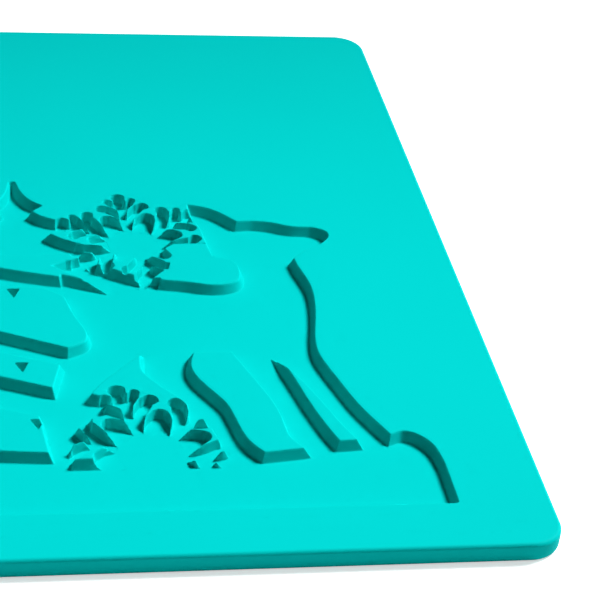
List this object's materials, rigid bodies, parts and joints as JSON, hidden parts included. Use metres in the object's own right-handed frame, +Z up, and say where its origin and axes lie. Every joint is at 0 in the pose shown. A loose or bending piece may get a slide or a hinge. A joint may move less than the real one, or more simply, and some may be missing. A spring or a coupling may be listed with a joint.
{
  "type": "silicone decorating mat",
  "caption": "Flat flexible silicone mat with rounded corners and a sunk winter scene that moulds a relief on a sponge sheet.",
  "frame": {"origin": "centre of the flat underside", "axes": "+X along the long side, to the right in the picture; +Y away from the near edge; +Z up out of the relief"},
  "size_m": [0.4, 0.3, 0.006],
  "materials": {
    "silicone": "satin moulded silicone"
  },
  "bodies": {
    "root": {"moulded_mat": "silicone"}
  },
  "joints": []
}
